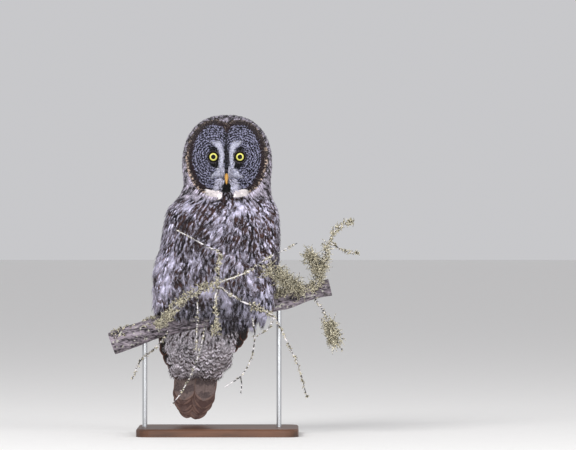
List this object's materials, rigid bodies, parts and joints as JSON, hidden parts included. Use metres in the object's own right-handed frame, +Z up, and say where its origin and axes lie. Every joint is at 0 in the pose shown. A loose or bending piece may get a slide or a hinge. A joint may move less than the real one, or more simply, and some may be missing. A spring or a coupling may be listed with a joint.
{
  "type": "great grey owl model",
  "caption": "Life-size grey owl, perched upright with its wings folded and its tail hanging, on a short cut branch held by two rods on a flat base.",
  "frame": {"origin": "middle of the stand base's underside", "axes": "+Z up; the owl looks along -Y; +X is the owl's left"},
  "size_m": [0.501, 0.2572, 0.6528],
  "materials": {
    "plumage": "soft, barred grey-brown feathers",
    "face": "fine grey feathers with dark rings",
    "flight_feathers": "smooth brown tail feathers",
    "eye": "glossy yellow iris with a black pupil",
    "bill": "semi-gloss yellow horn",
    "claw": "dark horn",
    "bark": "weathered bark",
    "stand_steel": "brushed",
    "stand_wood": "dark stained, satin"
  },
  "bodies": {
    "root": {"head": "face", "eye_left": "eye", "eye_right": "eye", "bill_upper": "bill", "bill_lower": "bill", "neck": "plumage", "torso": "plumage", "wing_left": "plumage", "wing_right": "plumage", "under_tail_coverts": "plumage", "tail": "flight_feathers", "leg_left": "plumage", "leg_right": "plumage", "foot_left": "plumage", "foot_right": "plumage", "claw_toe_inner_left": "claw", "claw_toe_middle_left": "claw", "claw_toe_outer_left": "claw", "claw_toe_hind_left": "claw", "claw_toe_inner_right": "claw", "claw_toe_middle_right": "claw", "claw_toe_outer_right": "claw", "claw_toe_hind_right": "claw", "perch": "bark", "twig_main": "bark", "twig_upper": "bark", "twig_long": "bark", "twig_bent": "bark", "twig_left": "bark", "twig_tail": "bark", "twig_right": "bark", "twig_hanging": "bark", "stand_base": "stand_wood", "stand_rod_left": "stand_steel", "stand_rod_right": "stand_steel"}
  },
  "joints": []
}
